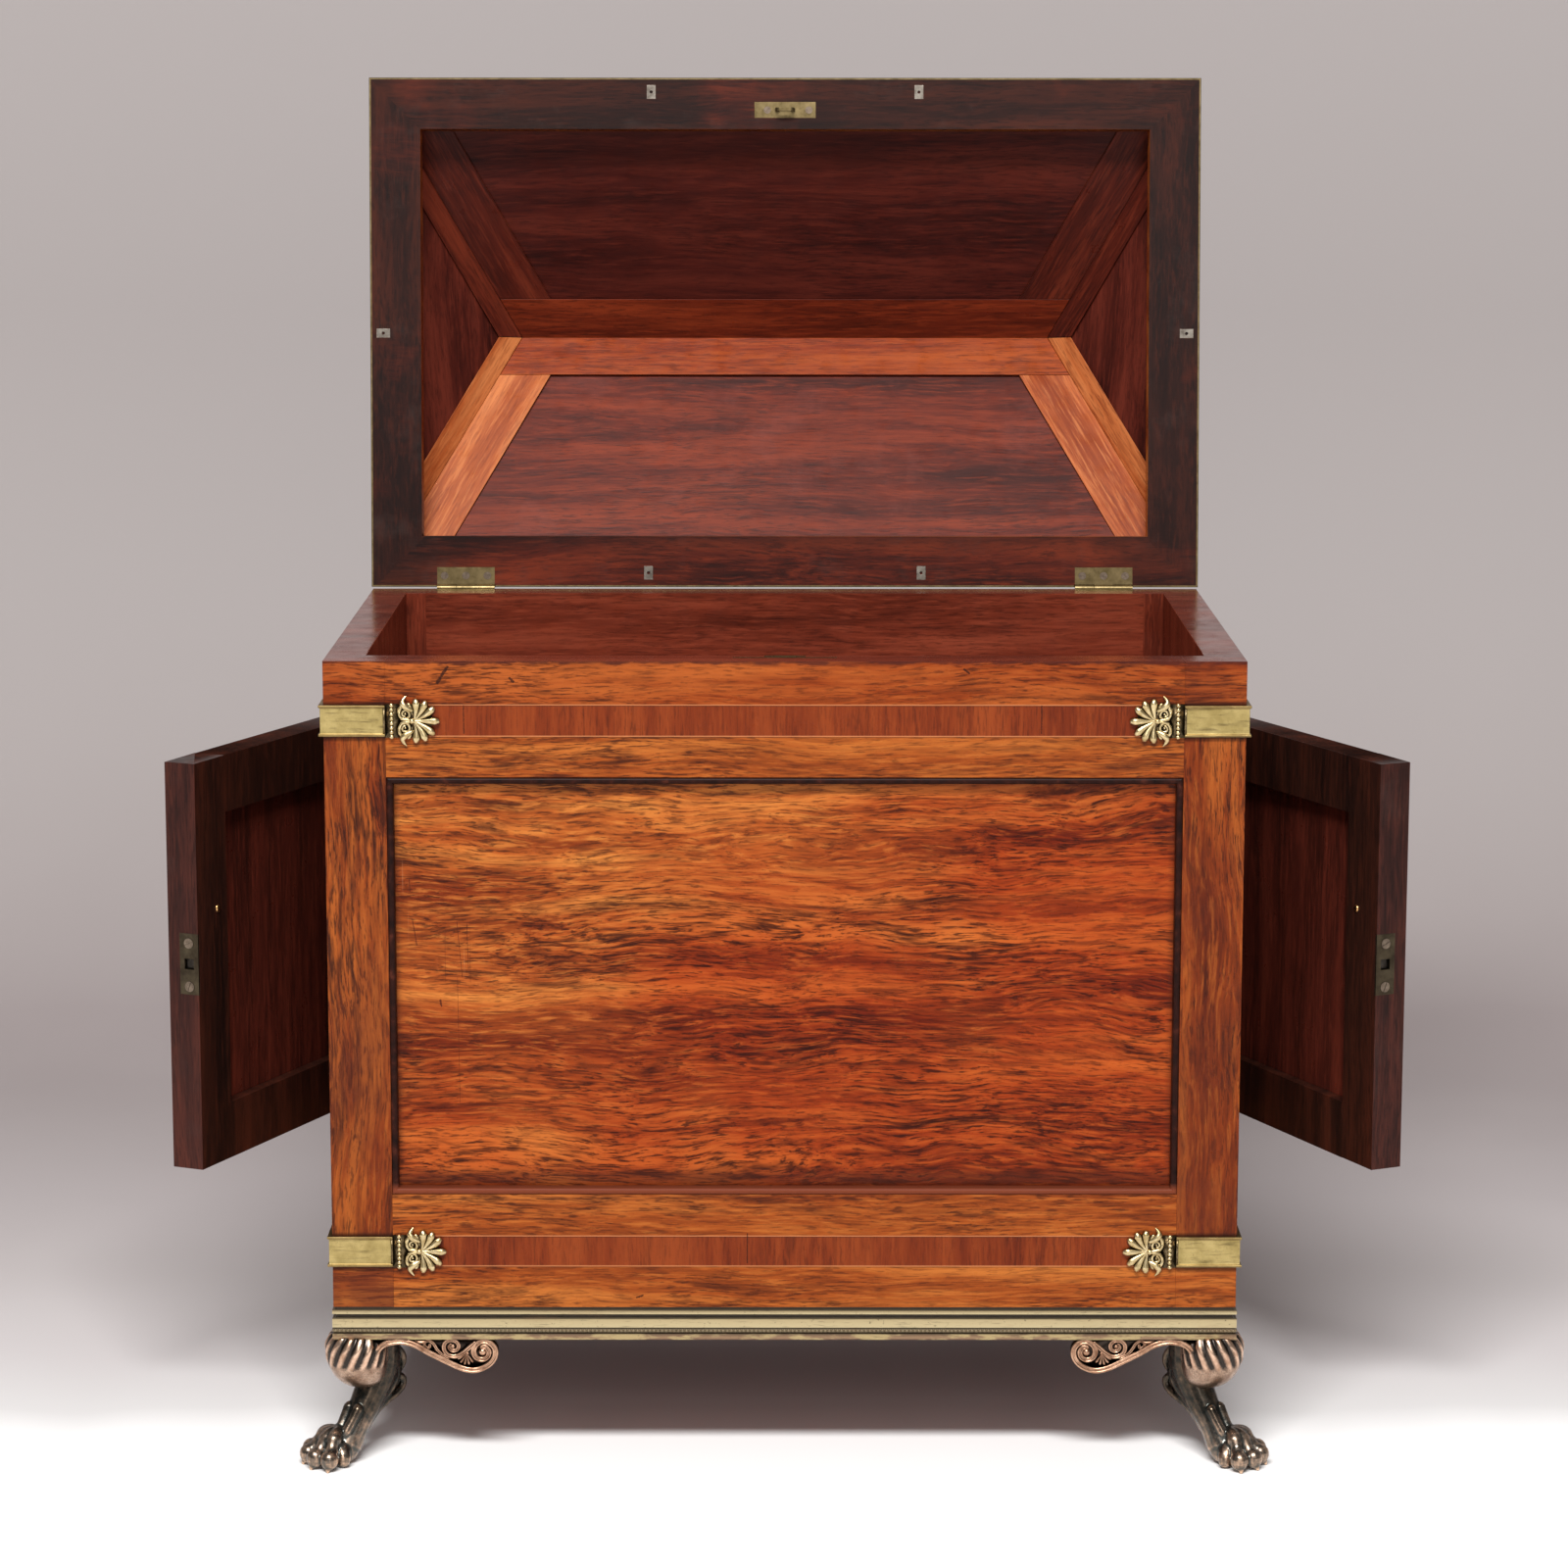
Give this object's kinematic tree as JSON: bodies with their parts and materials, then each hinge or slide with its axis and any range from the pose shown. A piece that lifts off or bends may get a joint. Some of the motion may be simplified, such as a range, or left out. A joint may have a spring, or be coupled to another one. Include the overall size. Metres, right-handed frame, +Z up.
{
  "type": "cellarette",
  "caption": "Free-standing panelled wooden drinks chest on cast paw feet, with a hipped hinged lid over a well, end cupboard doors, and brass corner straps.",
  "frame": {"origin": "on the floor, under the middle of the box that the open piece fills", "axes": "+Z up, +X to the right of someone facing the front, the front faces -Y; the lid opens towards +Y"},
  "size_m": [1.01, 0.632, 1.108],
  "materials": {
    "frame_veneer": "french-polished, crossbanded",
    "figured_veneer": "french-polished, flame figure",
    "lid_mahogany": "polished, darkened inside",
    "inside_mahogany": "dull old mahogany",
    "ebonised_wood": "ebonised, polished",
    "brass": "aged",
    "ornament_brass": "cast, patinated",
    "bronze": "cast, dark patina with rubbed highlights",
    "steel": "dull"
  },
  "bodies": {
    "case": {"back_bottom_rail": "frame_veneer", "back_left_foot": "bronze", "back_left_post": "frame_veneer", "back_panel": "figured_veneer", "back_panel_bead": "ebonised_wood", "back_right_foot": "bronze", "back_right_post": "frame_veneer", "back_top_rail": "frame_veneer", "base_moulding": "ornament_brass", "cupboard_floor": "inside_mahogany", "cupboard_partition": "inside_mahogany", "door_hinge_case_leaves": "brass", "door_hinge_pins": "steel", "door_strikes": "brass", "front_bottom_rail": "frame_veneer", "front_left_foot": "bronze", "front_left_post": "frame_veneer", "front_panel": "figured_veneer", "front_panel_bead": "ebonised_wood", "front_right_foot": "bronze", "front_right_post": "frame_veneer", "front_top_rail": "frame_veneer", "left_bottom_rail": "frame_veneer", "left_top_rail": "frame_veneer", "lid_hinge_case_leaves": "brass", "lid_hinge_pins": "steel", "lid_lock": "brass", "lower_corner_straps": "ornament_brass", "plinth_board": "inside_mahogany", "right_bottom_rail": "frame_veneer", "right_top_rail": "frame_veneer", "upper_corner_straps": "ornament_brass", "well_floor": "inside_mahogany"},
    "lid": {"lid_rim": "lid_mahogany", "lid_edge_strip": "brass", "lid_clips": "brass", "lid_link_plate": "brass", "lid_hinge_leaves": "brass", "lid_front_frame": "lid_mahogany", "lid_front_panel": "lid_mahogany", "lid_back_frame": "lid_mahogany", "lid_back_panel": "lid_mahogany", "lid_left_frame": "lid_mahogany", "lid_left_panel": "lid_mahogany", "lid_right_frame": "lid_mahogany", "lid_right_panel": "lid_mahogany"},
    "left_door": {"left_door_frame": "frame_veneer", "left_door_panel": "figured_veneer", "left_door_bead": "ebonised_wood", "left_door_lock": "brass", "left_door_hinge_leaves": "brass"},
    "left_door_bolt": {"left_door_bolt": "steel"},
    "right_door": {"right_door_frame": "frame_veneer", "right_door_panel": "figured_veneer", "right_door_bead": "ebonised_wood", "right_door_lock": "brass", "right_door_hinge_leaves": "brass"},
    "right_door_bolt": {"right_door_bolt": "steel"},
    "lid_bolt": {"lid_bolt": "steel"}
  },
  "joints": [
    {"name": "lid_hinge", "type": "hinge", "parent": "case", "child": "lid", "pos_m": [0, 0.1592, 0.6612], "axis": [1, 0, 0], "range_deg": [0, 96.06]},
    {"name": "left_door_hinge", "type": "hinge", "parent": "case", "child": "left_door", "pos_m": [-0.367, 0.1045, 0.3975], "axis": [0, 0, -1], "range_deg": [-23.9, 146.1]},
    {"name": "right_door_hinge", "type": "hinge", "parent": "case", "child": "right_door", "pos_m": [0.367, 0.1045, 0.3975], "axis": [0, 0, 1], "range_deg": [-24.7, 145.3]},
    {"name": "lid_bolt_slide", "type": "slide", "parent": "case", "child": "lid_bolt", "axis": [0, -1, 0], "range_m": [0, 0.0065]},
    {"name": "left_door_bolt_slide", "type": "slide", "parent": "left_door", "child": "left_door_bolt", "axis": [-0.4051, -0.9143, 0], "range_m": [0, 0.011]},
    {"name": "right_door_bolt_slide", "type": "slide", "parent": "right_door", "child": "right_door_bolt", "axis": [0.4179, -0.9085, 0], "range_m": [0, 0.011]}
  ]
}
